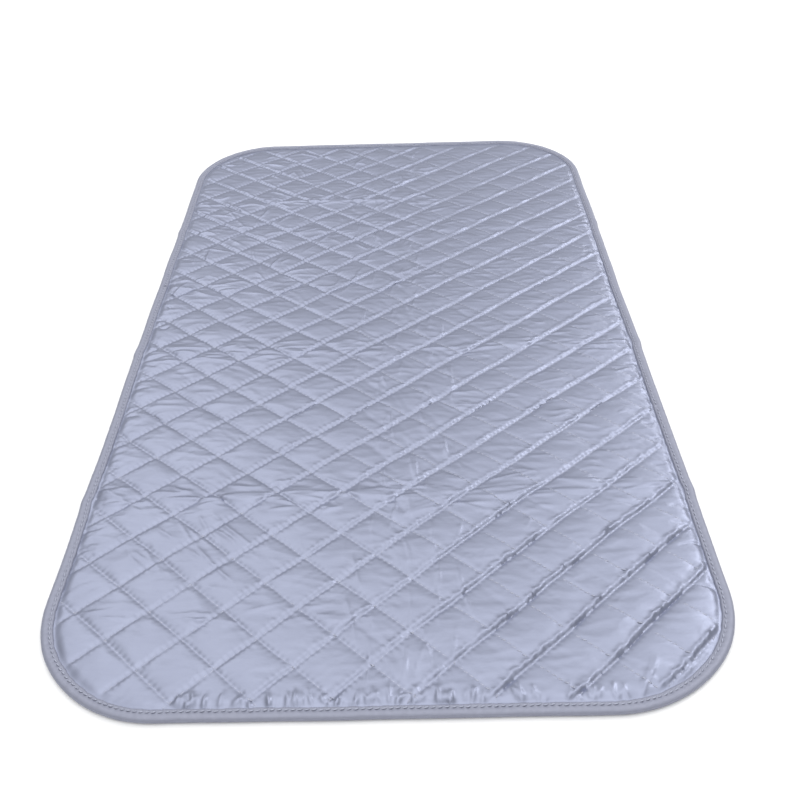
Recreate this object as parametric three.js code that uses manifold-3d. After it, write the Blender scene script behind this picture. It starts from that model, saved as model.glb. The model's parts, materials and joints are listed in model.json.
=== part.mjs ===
// A quilted ironing pad: a silver-coated cover, wadding and a plain backing, quilted in diamonds, with a tape
// bound round the edge. It lies flat, and folds in four at three creases across it.
// Millimetres. X runs across the pad, Y along it towards the rear end, and Z up from the surface under it.

import * as THREE from "three";
import { mergeVertices } from "three/addons/utils/BufferGeometryUtils.js";
import Module from "manifold-3d";

// Outline
const PAD_WIDTH = 480;
const PAD_LENGTH = 850;
const CORNER_RADIUS = 95;
const CORNER_STEPS = 8;

// Layers, from the surface up, with the air left between one layer and the next
const BACKING_THICKNESS = 0.6;
const WADDING_STITCHED = 1.4;
const WADDING_CROWN = 4.6;
const COVER_THICKNESS = 0.6;
const LAYER_GAP = 0.3;

// Quilting: diamonds between two sets of straight stitch lines, one crossing at the quilt's centre
const DIAMOND_WIDTH = 52;
const DIAMOND_LENGTH = 44;
const QUILT_CENTRE_X = -8;
const QUILT_CENTRE_Y = 15;
const QUILTING_THREAD_WIDTH = 1;
const QUILTING_THREAD_HEIGHT = 0.7;

// Binding: a tape folded over the edge, the wadding pressed thin inside it, and the step of the underside
const BINDING_WIDTH = 9;
const BINDING_THICKNESS = 0.7;
const BINDING_ROLL = 0.6;
const WADDING_BOUND = 1.4;
const HEEL_WIDTH = 3;
const BINDING_THREAD_MARGIN = 2;
const BINDING_THREAD_WIDTH = 0.9;
const BINDING_THREAD_HEIGHT = 0.6;

// Folding: the middle crease, how far short of it a folded end stops, and the gap at each crease
const MIDDLE_CREASE_Y = -35;
const MEETING_GAP = 4;
const CREASE_GAP = 0.6;

// Heights in the quilted field
const BACKING_TOP = BACKING_THICKNESS;
const WADDING_BASE = BACKING_TOP + LAYER_GAP;
const COVER_RISE = LAYER_GAP + COVER_THICKNESS;
const COVER_STITCHED_TOP = WADDING_BASE + WADDING_STITCHED + COVER_RISE;
const COVER_CROWN_TOP = WADDING_BASE + WADDING_CROWN + COVER_RISE;

// Heights inside the binding, where every layer is lifted by the tape's lower leaf
const LIFT = BINDING_THICKNESS + LAYER_GAP;
const BOUND_SWELL = Math.max(LIFT + WADDING_BOUND - WADDING_STITCHED, 0);
const BINDING_MOUTH_TOP = COVER_STITCHED_TOP + BOUND_SWELL + LAYER_GAP;
const BINDING_TOP = BINDING_MOUTH_TOP + BINDING_THICKNESS;

// Distances in from the outline
const LAYER_INSET = BINDING_THICKNESS + LAYER_GAP;
const FIELD_INSET = BINDING_WIDTH + LAYER_GAP;

// Room beyond the pad for the shapes that are cut down to it
const MARGIN = 10;

const wasm = await Module();
wasm.setup();

// A closed geometry as a solid that can be joined and cut
function solidOf(geometry) {
  const bare = new THREE.BufferGeometry();
  bare.setAttribute("position", geometry.getAttribute("position"));
  bare.setIndex(geometry.getIndex());
  const merged = mergeVertices(bare);
  const mesh = new wasm.Mesh({
    numProp: 3,
    vertProperties: merged.getAttribute("position").array,
    triVerts: Uint32Array.from(merged.getIndex().array),
  });
  return new wasm.Manifold(mesh);
}

function geometryOf(solid) {
  const mesh = solid.getMesh();
  const geometry = new THREE.BufferGeometry();
  geometry.setAttribute("position", new THREE.BufferAttribute(mesh.vertProperties, 3));
  geometry.setIndex(new THREE.BufferAttribute(mesh.triVerts, 1));
  geometry.computeVertexNormals();
  return geometry;
}

function indexedGeometry(points, faces) {
  const geometry = new THREE.BufferGeometry().setFromPoints(points);
  geometry.setIndex(faces.flat());
  return geometry;
}

// The pad's outline drawn in by an inset, anticlockwise from the right side, as one ring at height z
function outlineRing({ inset, z }) {
  const radius = Math.max(CORNER_RADIUS - inset, BINDING_THICKNESS);
  const centreX = PAD_WIDTH / 2 - inset - radius;
  const centreY = PAD_LENGTH / 2 - inset - radius;
  const ring = [];
  for (let corner = 0; corner < 4; corner += 1) {
    const sideX = corner === 0 || corner === 3 ? 1 : -1;
    const sideY = corner < 2 ? 1 : -1;
    for (let step = 0; step <= CORNER_STEPS; step += 1) {
      const angle = ((corner + step / CORNER_STEPS) * Math.PI) / 2;
      const x = sideX * centreX + radius * Math.cos(angle);
      const y = sideY * centreY + radius * Math.sin(angle);
      ring.push(new THREE.Vector3(x, y, z));
    }
  }
  return ring;
}

// A solid through rings of the outline. A plate's rings run from its underside round to its top, and both
// ends are filled in. A hoop's rings run round its section and close on themselves.
function lofted(section, isHoop) {
  const rings = section.map(outlineRing);
  const count = rings[0].length;
  const faces = [];
  const bands = isHoop ? rings.length : rings.length - 1;
  for (let band = 0; band < bands; band += 1) {
    const lower = band * count;
    const upper = ((band + 1) % rings.length) * count;
    for (let i = 0; i < count; i += 1) {
      const next = (i + 1) % count;
      faces.push([lower + i, lower + next, upper + next]);
      faces.push([lower + i, upper + next, upper + i]);
    }
  }
  if (!isHoop) {
    const last = (rings.length - 1) * count;
    for (let i = 1; i < count - 1; i += 1) {
      faces.push([0, i + 1, i]);
      faces.push([last, last + i, last + i + 1]);
    }
  }
  return solidOf(indexedGeometry(rings.flat(), faces));
}

function plate(section) {
  return lofted(section, false);
}

function hoop(section) {
  return lofted(section, true);
}

const STEP_X = DIAMOND_WIDTH / 2;
const STEP_Y = DIAMOND_LENGTH / 2;

function latticePoint(column, row, z) {
  return new THREE.Vector3(QUILT_CENTRE_X + column * STEP_X, QUILT_CENTRE_Y + row * STEP_Y, z);
}

// How many half diamonds reach past the pad's edge, each way from the quilt's centre
const COLUMNS = Math.ceil((PAD_WIDTH / 2 + Math.abs(QUILT_CENTRE_X) + MARGIN) / STEP_X);
const ROWS = Math.ceil((PAD_LENGTH / 2 + Math.abs(QUILT_CENTRE_Y) + MARGIN) / STEP_Y);

// How far a point lies inside the pad's edge
function edgeDistance(x, y) {
  const beyondX = Math.abs(x) - (PAD_WIDTH / 2 - CORNER_RADIUS);
  const beyondY = Math.abs(y) - (PAD_LENGTH / 2 - CORNER_RADIUS);
  const round = Math.hypot(Math.max(beyondX, 0), Math.max(beyondY, 0));
  return CORNER_RADIUS - round - Math.min(Math.max(beyondX, beyondY), 0);
}

// How high the middle of a diamond swells over its stitch lines. Near the edge it swells less, so that its
// slope comes down into the binding's mouth.
function swell(point) {
  const full = WADDING_CROWN - WADDING_STITCHED;
  const slope = Math.min(STEP_X, STEP_Y);
  const inside = Math.max(edgeDistance(point.x, point.y) - FIELD_INSET, 0);
  return inside < slope ? Math.min(full, (BOUND_SWELL * slope) / (slope - inside)) : full;
}

const isCrossing = (column, row) => (column + row) % 2 === 0;

// A block, wider than the pad, whose top is the quilted surface. Lattice points where stitch lines cross are
// low, the middles of the diamonds between them are high, and each cell is split along its stitch line.
function quiltedBlock(stitchedZ) {
  const across = 2 * COLUMNS + 1;
  const points = [];
  const faces = [];
  for (let row = -ROWS; row <= ROWS; row += 1) {
    for (let column = -COLUMNS; column <= COLUMNS; column += 1) {
      const point = latticePoint(column, row, stitchedZ);
      point.z += isCrossing(column, row) ? 0 : swell(point);
      points.push(point);
    }
  }
  const under = points.length;
  points.push(...points.map((point) => new THREE.Vector3(point.x, point.y, -MARGIN)));
  const at = (column, row) => (row + ROWS) * across + column + COLUMNS;
  const addFace = (a, b, c) => {
    faces.push([a, b, c], [under + a, under + c, under + b]);
  };
  for (let row = -ROWS; row < ROWS; row += 1) {
    for (let column = -COLUMNS; column < COLUMNS; column += 1) {
      const near = [at(column, row), at(column + 1, row)];
      const far = [at(column, row + 1), at(column + 1, row + 1)];
      if (isCrossing(column, row)) {
        addFace(near[0], near[1], far[1]);
        addFace(near[0], far[1], far[0]);
      } else {
        addFace(near[0], near[1], far[0]);
        addFace(near[1], far[1], far[0]);
      }
    }
  }
  const addWall = (a, b) => {
    faces.push([under + a, under + b, b], [under + a, b, a]);
  };
  for (let column = -COLUMNS; column < COLUMNS; column += 1) {
    addWall(at(column, -ROWS), at(column + 1, -ROWS));
    addWall(at(column + 1, ROWS), at(column, ROWS));
  }
  for (let row = -ROWS; row < ROWS; row += 1) {
    addWall(at(COLUMNS, row), at(COLUMNS, row + 1));
    addWall(at(-COLUMNS, row + 1), at(-COLUMNS, row));
  }
  return solidOf(indexedGeometry(points, faces));
}

// The step up from the level underside to the slot inside the binding, under a layer at height z
function heelRings(z) {
  return [
    { inset: FIELD_INSET + HEEL_WIDTH, z },
    { inset: FIELD_INSET, z: z + LIFT },
    { inset: LAYER_INSET, z: z + LIFT },
  ];
}

function backing() {
  const underside = heelRings(0);
  const top = heelRings(BACKING_TOP).reverse();
  return plate([...underside, ...top]);
}

function wadding() {
  const room = plate([
    ...heelRings(WADDING_BASE),
    { inset: LAYER_INSET, z: COVER_CROWN_TOP },
  ]);
  return quiltedBlock(WADDING_BASE + WADDING_STITCHED).intersect(room);
}

function cover() {
  const room = plate([
    { inset: LAYER_INSET, z: 0 },
    { inset: LAYER_INSET, z: COVER_CROWN_TOP + MARGIN },
  ]);
  const top = quiltedBlock(COVER_STITCHED_TOP).intersect(room);
  return top.subtract(quiltedBlock(COVER_STITCHED_TOP - COVER_THICKNESS));
}

function binding() {
  return hoop([
    { inset: BINDING_WIDTH, z: 0 },
    { inset: BINDING_ROLL, z: 0 },
    { inset: 0, z: BINDING_ROLL },
    { inset: 0, z: BINDING_TOP - BINDING_ROLL },
    { inset: BINDING_ROLL, z: BINDING_TOP },
    { inset: BINDING_WIDTH, z: BINDING_TOP },
    { inset: BINDING_WIDTH, z: BINDING_MOUTH_TOP },
    { inset: BINDING_THICKNESS, z: BINDING_MOUTH_TOP },
    { inset: BINDING_THICKNESS, z: BINDING_THICKNESS },
    { inset: BINDING_WIDTH, z: BINDING_THICKNESS },
  ]);
}

function bindingThread() {
  const inset = BINDING_WIDTH - BINDING_THREAD_MARGIN;
  const base = BINDING_TOP + LAYER_GAP;
  return hoop([
    { inset: inset + BINDING_THREAD_WIDTH / 2, z: base },
    { inset: inset - BINDING_THREAD_WIDTH / 2, z: base },
    { inset, z: base + BINDING_THREAD_HEIGHT },
  ]);
}

// All the quilting thread on the pad: three-sided runs with their ridges up, which cross at the lattice's low
// points. A crossing has its ridge point and the four corners of its base, where the runs' edges meet.
function quiltingThread() {
  const base = COVER_STITCHED_TOP + LAYER_GAP;
  const run = new THREE.Vector2(STEP_X, STEP_Y).normalize();
  const cornerX = QUILTING_THREAD_WIDTH / 2 / run.y;
  const cornerY = QUILTING_THREAD_WIDTH / 2 / run.x;
  const points = [];
  const faces = [];
  const crossings = new Map();
  const key = (column, row) => `${column} ${row}`;
  for (let row = -ROWS; row <= ROWS; row += 1) {
    for (let column = -COLUMNS; column <= COLUMNS; column += 1) {
      if (isCrossing(column, row)) {
        const first = points.length;
        const centre = latticePoint(column, row, base);
        const offsets = [[cornerX, 0], [0, cornerY], [-cornerX, 0], [0, -cornerY]];
        points.push(centre.clone().setZ(base + QUILTING_THREAD_HEIGHT));
        points.push(...offsets.map(([x, y]) => new THREE.Vector3(centre.x + x, centre.y + y, base)));
        const [ridge, right, back, left, front] = [0, 1, 2, 3, 4].map((i) => first + i);
        faces.push([right, front, left], [right, left, back]);
        crossings.set(key(column, row), { ridge, right, back, left, front });
      }
    }
  }
  const addQuad = (a, b, c, d) => faces.push([a, b, c], [a, c, d]);
  // Each run leaves a crossing between two of its corners, and reaches the next between two of the others
  const addRun = (near, nearSides, far, farSides) => {
    const [nearLow, nearHigh] = nearSides.map((side) => near[side]);
    const [farLow, farHigh] = farSides.map((side) => far[side]);
    addQuad(nearLow, farLow, far.ridge, near.ridge);
    addQuad(near.ridge, far.ridge, farHigh, nearHigh);
    addQuad(nearHigh, farHigh, farLow, nearLow);
  };
  const addEnd = (crossing, [low, high]) => faces.push([crossing[low], crossing[high], crossing.ridge]);
  for (let row = -ROWS; row <= ROWS; row += 1) {
    for (let column = -COLUMNS; column <= COLUMNS; column += 1) {
      const here = crossings.get(key(column, row));
      const backRight = crossings.get(key(column + 1, row + 1));
      const backLeft = crossings.get(key(column - 1, row + 1));
      if (here && backRight) addRun(here, ["right", "back"], backRight, ["front", "left"]);
      if (here && backLeft) addRun(here, ["back", "left"], backLeft, ["right", "front"]);
      if (here && !backRight) addEnd(here, ["right", "back"]);
      if (here && !backLeft) addEnd(here, ["back", "left"]);
      if (here && !crossings.has(key(column - 1, row - 1))) addEnd(here, ["left", "front"]);
      if (here && !crossings.has(key(column + 1, row - 1))) addEnd(here, ["front", "right"]);
    }
  }
  const field = plate([
    { inset: FIELD_INSET, z: 0 },
    { inset: FIELD_INSET, z: COVER_CROWN_TOP + MARGIN },
  ]);
  return solidOf(indexedGeometry(points, faces)).intersect(field);
}

// A stray end of thread that crosses no other in its panel is dropped with the rest of the trimmings
function largestPiece(solid) {
  const pieces = solid.decompose();
  return pieces.reduce((best, piece) => (piece.volume() > best.volume() ? piece : best));
}

// Each end folds in to the middle crease, so its own crease is half way, less half the meeting gap
const FRONT_EDGE_Y = -PAD_LENGTH / 2;
const REAR_EDGE_Y = PAD_LENGTH / 2;
const FRONT_CREASE_Y = (FRONT_EDGE_Y + MIDDLE_CREASE_Y - MEETING_GAP) / 2;
const REAR_CREASE_Y = (REAR_EDGE_Y + MIDDLE_CREASE_Y + MEETING_GAP) / 2;

const PANELS = [
  { name: "front", from: FRONT_EDGE_Y - MARGIN, to: FRONT_CREASE_Y, isEnd: true },
  { name: "front_middle", from: FRONT_CREASE_Y, to: MIDDLE_CREASE_Y, isEnd: false },
  { name: "rear_middle", from: MIDDLE_CREASE_Y, to: REAR_CREASE_Y, isEnd: false },
  { name: "rear", from: REAR_CREASE_Y, to: REAR_EDGE_Y + MARGIN, isEnd: true },
];

// The room that one panel takes, between its creases and from x low to x high
function panelRoom(panel, lowX, highX) {
  const from = panel.from + CREASE_GAP / 2;
  const to = panel.to - CREASE_GAP / 2;
  const box = new THREE.BoxGeometry(highX - lowX, to - from, 2 * (COVER_CROWN_TOP + MARGIN));
  box.translate((lowX + highX) / 2, (from + to) / 2, 0);
  return solidOf(box);
}

const SILVER_CLOTH = { color: 0xa9aec6, roughness: 0.42, metalness: 0.35 };
const WADDING_FELT = { color: 0xe6e3da, roughness: 0.95, metalness: 0 };
const PLAIN_CLOTH = { color: 0xc3c6d2, roughness: 0.9, metalness: 0 };
const BINDING_TAPE = { color: 0xa0a4bd, roughness: 0.6, metalness: 0.05 };
const SEWING_THREAD = { color: 0xb4b8cb, roughness: 0.55, metalness: 0 };

const pad = new THREE.Group();
pad.name = "ironing_pad";

function addPiece(group, name, solid, finish) {
  const mesh = new THREE.Mesh(geometryOf(solid), new THREE.MeshStandardMaterial(finish));
  mesh.name = name;
  group.add(mesh);
}

const WHOLE = {
  backing: backing(),
  wadding: wadding(),
  cover: cover(),
  quilting: quiltingThread(),
  binding: binding(),
  bindingThread: bindingThread(),
};
const OUTER_X = PAD_WIDTH / 2 + MARGIN;

for (const panel of PANELS) {
  const group = new THREE.Group();
  const room = panelRoom(panel, -OUTER_X, OUTER_X);
  addPiece(group, `backing_${panel.name}`, WHOLE.backing.intersect(room), PLAIN_CLOTH);
  addPiece(group, `wadding_${panel.name}`, WHOLE.wadding.intersect(room), WADDING_FELT);
  addPiece(group, `cover_${panel.name}`, WHOLE.cover.intersect(room), SILVER_CLOTH);
  const quilting = largestPiece(WHOLE.quilting.intersect(room));
  addPiece(group, `quilting_thread_${panel.name}`, quilting, SEWING_THREAD);
  const stretches = panel.isEnd
    ? [{ name: panel.name, room }]
    : [
        { name: `${panel.name}_left`, room: panelRoom(panel, -OUTER_X, 0) },
        { name: `${panel.name}_right`, room: panelRoom(panel, 0, OUTER_X) },
      ];
  for (const stretch of stretches) {
    addPiece(group, `binding_${stretch.name}`, WHOLE.binding.intersect(stretch.room), BINDING_TAPE);
    const thread = WHOLE.bindingThread.intersect(stretch.room);
    addPiece(group, `binding_thread_${stretch.name}`, thread, SEWING_THREAD);
  }
  pad.add(group);
}

export default pad;
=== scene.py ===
"""A quilted ironing pad that folds in four: cover, backing, binding and stitches around the CAD frame."""

import json
import math
from collections import namedtuple

import bmesh
import bpy
import numpy as np
from bpy.props import FloatProperty, FloatVectorProperty, PointerProperty
from mathutils import Matrix, Vector, noise
from mathutils.bvhtree import BVHTree

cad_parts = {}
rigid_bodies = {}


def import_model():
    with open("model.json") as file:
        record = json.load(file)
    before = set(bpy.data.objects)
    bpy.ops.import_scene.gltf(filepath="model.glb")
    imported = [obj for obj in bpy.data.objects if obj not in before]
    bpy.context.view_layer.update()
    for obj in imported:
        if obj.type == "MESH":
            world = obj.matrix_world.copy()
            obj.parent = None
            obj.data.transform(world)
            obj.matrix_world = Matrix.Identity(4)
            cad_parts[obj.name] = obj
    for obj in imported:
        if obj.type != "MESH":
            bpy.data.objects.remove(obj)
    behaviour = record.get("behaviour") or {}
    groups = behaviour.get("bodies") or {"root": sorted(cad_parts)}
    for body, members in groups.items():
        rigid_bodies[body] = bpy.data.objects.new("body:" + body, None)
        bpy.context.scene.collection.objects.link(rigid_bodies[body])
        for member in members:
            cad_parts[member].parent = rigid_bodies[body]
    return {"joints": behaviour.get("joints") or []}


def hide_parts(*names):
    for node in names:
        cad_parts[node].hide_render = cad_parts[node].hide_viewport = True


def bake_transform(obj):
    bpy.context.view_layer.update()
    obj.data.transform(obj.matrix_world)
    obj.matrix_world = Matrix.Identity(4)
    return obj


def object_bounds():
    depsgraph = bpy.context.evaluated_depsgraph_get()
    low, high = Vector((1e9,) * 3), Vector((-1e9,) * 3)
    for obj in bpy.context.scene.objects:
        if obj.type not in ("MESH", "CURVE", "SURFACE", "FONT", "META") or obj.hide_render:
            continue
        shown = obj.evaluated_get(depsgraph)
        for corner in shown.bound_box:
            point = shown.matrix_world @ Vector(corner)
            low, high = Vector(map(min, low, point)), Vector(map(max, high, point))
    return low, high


bl_info = {
    "name": "Quilted ironing pad",
    "version": (1, 0, 0),
    "blender": (4, 5, 0),
    "location": "View3D > Sidebar > Ironing pad",
    "description": "Builds the quilted cover, backing, binding and stitching of a folding ironing pad",
    "category": "Object",
}

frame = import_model()
CAD_LOW, CAD_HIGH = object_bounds()
CREASE_Y = {joint["name"]: joint["pos_m"][1] for joint in frame["joints"]}

MM = 0.001
SEED = 7
SHARP_ANGLE = math.radians(65)

# A stretch of the pad bends at one crease. It runs from the middle of one panel to the middle of the next.
# It stands for the CAD nodes of its panels, and of its sides where the binding is concerned.
Stretch = namedtuple("Stretch", "name front_body rear_body crease bend panels start end")

FRONT_JOIN = (CREASE_Y["front_fold"] + CREASE_Y["middle_fold"]) / 2
REAR_JOIN = (CREASE_Y["middle_fold"] + CREASE_Y["rear_fold"]) / 2
SHARP_BEND = 12 * MM
WIDE_BEND = 35 * MM
BEND_STRIPS = 16
FRONT = Stretch(
    "front", "front_panel", "front_middle_panel",
    CREASE_Y["front_fold"], SHARP_BEND, ("front",), -math.inf, FRONT_JOIN,
)
MIDDLE = Stretch(
    "middle", "front_middle_panel", "rear_middle_panel",
    CREASE_Y["middle_fold"], WIDE_BEND, ("front_middle", "rear_middle"), FRONT_JOIN, REAR_JOIN,
)
REAR = Stretch(
    "rear", "rear_middle_panel", "rear_panel",
    CREASE_Y["rear_fold"], SHARP_BEND, ("rear",), REAR_JOIN, math.inf,
)
STRETCHES = (FRONT, MIDDLE, REAR)

# Quilting lattice: how many cells it counts each way, and how the front rows grow longer
CELLS = 32
LINE_TOLERANCE = 1e-4
STITCHED_SHARE = 0.01
ROW_STRETCH_START = -11
ROW_STRETCH = 0.14 * MM

# Waves that the stitch lines make: their size, how fast they run with u and with v, and where they start
WOBBLE = 0.6 * MM
WOBBLE_ACROSS = ((1.0, 1.3, 0.4, 1.0), (0.7, -0.7, 2.9, 0.0))
WOBBLE_ALONG = ((1.0, 0.5, -1.1, 2.0), (0.7, 2.7, 0.9, 0.0))

# Layers of the noise, one for each use of it
RUMPLE_X_LAYER = 1.5
TAPE_WAVE_LAYER = 3.3
RUMPLE_Y_LAYER = 9.5
CREASE_PATCH_LAYER = 10
LONG_CREASE_LAYER = 20
CRUMPLE_LAYER = 43
LIP_PATCH_LAYER = 47
LIP_TOOTH_LAYER = 53
LIP_WANDER_LAYER = 59
STITCH_PATCH_LAYER = 61
LINE_FADE_LAYER = 67

# Cover cloth: its mesh, its height, and how it goes under the binding
COVER_DIVISIONS = 14
COVER_TRIM = 2.5 * MM
COVER_BASE = 1.3 * MM
CROWN_FULLNESS = 0.55
START_CROWN = 1.0 * MM
BINDING_PRESS = 12 * MM
BINDING_SINK = 0.5 * MM
BINDING_SINK_REACH = 2 * MM
SINK_ENDS = (50 * MM, 250 * MM)
CLOTH_JITTER = 0.1 * MM
EASY_RISE = 0.72
DEEPEST_PUCKER = 0.6 * MM

# How much larger the cover is cut than the pad, all over and at the creases
SLACK_ACROSS = 0.005
SLACK_ALONG = 0.007
CREASE_SLACK = 1.0 * MM
CREASE_MEAN = 0.6
CREASE_SWING = 0.6
CREASE_BAND = 10 * MM
CREASE_WANDER = 5 * MM
CREASE_WANDER_PERIOD = 60 * MM
CREASE_PATCH = 45 * MM
LONG_CREASE_X = 15 * MM
LONG_CREASE_SLACK = 0.8 * MM
LONG_CREASE_MEAN = 0.5
LONG_CREASE_SWING = 0.7
LONG_CREASE_BAND = 22 * MM
RUMPLE = 0.35 * MM
RUMPLE_PERIOD = 11 * MM

# Stitch lines of one slant that are loose on the right
LOOSE_LINE_LIFT = 1.5 * MM
LOOSEST_HELD = 0.6
LOOSE_LINES_FROM = (-40 * MM, 90 * MM)
LOOSE_MIDDLE_SHIFT = 70 * MM
LOOSE_MIDDLE_FRONT = (-300 * MM, -200 * MM)
LOOSE_MIDDLE_REAR = (20 * MM, 120 * MM)

# Sharp wrinkles scattered over patches of the cover: where they lie in mm, their slant and its spread,
# and their lengths and heights in mm
Patch = namedtuple("Patch", "count across along slant spread length height")

UPRIGHT = math.pi / 2
PATCHES = (
    Patch(60, (-225, 225), (-250, -214), 0, 0.25, (14, 48), (0.7, 1.7)),
    Patch(26, (-225, 225), (-238, -226), 0, 0.06, (40, 110), (1.0, 1.8)),
    Patch(44, (-225, 225), (-52, -16), 0, 0.25, (14, 44), (0.7, 1.5)),
    Patch(22, (-225, 225), (-42, -28), 0, 0.06, (40, 100), (0.9, 1.6)),
    Patch(24, (-225, 225), (168, 204), 0, 0.3, (14, 40), (0.6, 1.2)),
    Patch(24, (-225, 60), (246, 276), 0, 0.3, (16, 44), (0.7, 1.5)),
    Patch(60, (-28, 60), (-390, 40), UPRIGHT, 0.12, (20, 56), (0.8, 1.7)),
    Patch(36, (-28, 40), (40, 405), UPRIGHT, 0.2, (14, 40), (0.7, 1.7)),
    Patch(130, (60, 228), (-215, 150), 0, 0.22, (12, 38), (0.4, 1.0)),
    Patch(150, (-225, 60), (60, 405), 0.3, 0.8, (14, 44), (0.7, 1.8)),
    Patch(60, (-225, -30), (-390, 40), 0.1, 0.7, (8, 24), (0.2, 0.6)),
    Patch(60, (55, 228), (-400, -240), 0.2, 0.7, (8, 24), (0.2, 0.5)),
    Patch(18, (-230, -20), (-352, -338), 0, 0.12, (25, 60), (0.7, 1.4)),
    Patch(12, (-185, -110), (-300, -258), -0.7, 0.15, (25, 60), (0.7, 1.5)),
    Patch(14, (-225, -130), (-52, -38), 0, 0.15, (20, 50), (0.7, 1.4)),
    Patch(14, (-220, -40), (62, 86), 0, 0.2, (20, 50), (0.6, 1.2)),
    Patch(10, (-115, -5), (256, 268), 0.05, 0.12, (40, 80), (1.2, 2.0)),
    Patch(8, (-220, -160), (212, 246), -0.6, 0.2, (25, 50), (0.7, 1.4)),
)
# Gathers that run in from the binding, at the front, its right corner and the two sides
GATHERS = (
    Patch(80, (-135, 170), (-416, -408), UPRIGHT, 0.3, (8, 18), (0.9, 1.8)),
    Patch(5, (160, 200), (-402, -388), 1.15, 0.1, (18, 30), (0.8, 1.5)),
    Patch(30, (-231, -219), (-300, 200), 0, 0.35, (8, 20), (-1.3, -0.4)),
    Patch(36, (219, 231), (-330, 250), 0, 0.35, (8, 20), (-1.3, -0.4)),
)
WRINKLE_WIDTH = 1.1 * MM
WRINKLE_BOW = 2.5 * MM
WRINKLE_AT_LINES = 0.35

# Crumples all over the cover: sharp crests between shallow hollows
CRUMPLE = 0.4 * MM
CRUMPLE_PERIOD = 9 * MM
CRUMPLE_LENGTH = 3
DOME_SHARE = 0.5

# Cloth at the stitch lines: the groove, the dips at the holes and the gathers between them
STITCH_DIP = 0.45 * MM
STITCH_DIP_REACH = 1.5 * MM
STITCH_GATHER = 0.24 * MM
STITCH_PATCH = 9 * MM
TUG_MEAN = 0.8
TUG_SWING = 0.8
STITCH_GATHER_REACH = 3 * MM
GROOVE_DEPTH = 0.6 * MM
GROOVE_REACH = 2.2 * MM
LINE_FADE = 0.35
REAR_LINE_FADE = 0.5
LINE_FADE_PATCH = 28 * MM
FADE_MEAN = 0.5
FADE_SWING = 1.5
SLACK_LINE_EASE = 0.8
CROSS_LINE_EASE = 0.4
FRONT_RIGHT_PULL = 1.4

# Lips: cloth that bulges over the rear side of the stitch lines
LIP_HEIGHT = 0.75 * MM
LIP_MIDDLE = 3.2 * MM
LIP_REACH = 2.1 * MM
FRONT_LIP_HEIGHT = 0.9 * MM
FRONT_LIP_MIDDLE = 2.6 * MM
FRONT_LIP_REACH = 1.5 * MM
LIP_TEETH = 0.25
REAR_TEETH_EASE = 0.7
LIP_ROUGHNESS = 0.5
LIP_TOOTH = 3.2 * MM
LIP_PATCH = 20 * MM
LIP_WANDER = 1.8 * MM
LIP_WANDER_PERIOD = 6 * MM
LIP_MEAN = 0.85
LIP_SWING = 0.9
REAR_LIP_SWING = 1.1
LEAST_LIP = 0.3
MOST_LIP = 1.4
REAR_MOST_LIP = 0.2
LIPS_FROM_X = (-210 * MM, -20 * MM)
REAR_LIPS_FROM_Y = (60 * MM, 260 * MM)
FRONT_RIGHT_X = (10 * MM, 90 * MM)
FRONT_RIGHT_Y = (-190 * MM, -310 * MM)

# Cloth settling, at a scale where its springs work well
CLOTH_SCALE = 40
DRAW_IN_FRAMES = 10
SETTLE_FRAMES = 20
CLOTH_SETTINGS = {
    "quality": 4,
    "mass": 0.3,
    "tension_stiffness": 40,
    "compression_stiffness": 40,
    "shear_stiffness": 15,
    "bending_stiffness": 0.35,
    "air_damping": 2,
    "use_pressure": True,
    "uniform_pressure_force": 1.2,
}

# Backing
BACKING_DIVISIONS = 10
BACKING_TRIM = 2 * MM
BACKING_THICKNESS = 0.4 * MM
BACKING_LOW = 0.05 * MM
BACKING_GROOVE = 0.7 * MM
BACKING_IN_BINDING = 0.8 * MM
BACKING_TURN = 2 * MM

# Binding: the tape's outer face from its upper lip round the edge to its lower lip, as (inset, height) in mm
TAPE_SECTION_MM = (
    (8.7, 2.7), (8.4, 3.9), (7.4, 4.5), (6.2, 4.25), (5.2, 4.6), (4.2, 4.95), (3.0, 5.1), (1.6, 4.85),
    (0.6, 4.1), (0.1, 3.2), (0.0, 2.4), (0.25, 1.5), (0.9, 0.7), (2.0, 0.25), (4.0, 0.1), (6.2, 0.4),
    (8.7, 0.1),
)
TAPE_THICKNESS = 0.55 * MM
TAPE_STEP = 1.25 * MM
TAPE_WAVE = 1.0 * MM
TAPE_WAVE_PERIOD = 55 * MM
TAPE_CRINKLE = 0.5 * MM
TAPE_CRINKLE_PERIOD = 6 * MM
CREASE_BULGE = 0.8 * MM
CREASE_BULGE_REACH = 7 * MM
SEAM_INSET = 6.2 * MM
SEAM_HEIGHT = 4.25 * MM
SEAM_UNDERSIDE = 0.45 * MM
SEAM_PULL = 0.45 * MM
SEAM_PULL_REACH = 1.6 * MM

# Thread
STITCH_LENGTH_SHARE = 0.82
THREAD_WIDTH = 1.5 * MM
THREAD_HEIGHT = 0.8 * MM
STITCH_VARIETY = 0.35
STITCH_WANDER = 0.15 * MM
STITCH_SLANT = 0.25
CROSSING_GAP = 0.12
FIELD_MARGIN = 0.8 * MM
DROP_FROM = 50 * MM

# Floor, and the lights: where each stands, what it faces and its size
FLOOR_REACH = 40
FLOOR_GRAIN = 40
FLOOR_SHADE = 0.98
SOFTBOX_PLACE = (-1.0, 1.3, 1.55)
SOFTBOX_TARGET = (-0.12, -0.2, 0)
SOFTBOX_SIZE = (1.0, 1.0)
KEY_PLACE = (1.5, 0.87, 1.46)
KEY_TARGET = (0.12, -0.05, 0)
KEY_SIZE = (0.9, 0.9)
WINDOW_PLACE = (1.35, 2.1, 1.15)
WINDOW_TARGET = (0, 0, 0)
WINDOW_SIZE = (0.7, 0.5)

# Camera
PHOTO_PIXELS = 800
SENSOR_WIDTH = 36
CLIP_START = 10 * MM


def number_setting(name, description, default):
    """A plain number that a user can change."""
    return FloatProperty(name=name, description=description, default=default)


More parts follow.
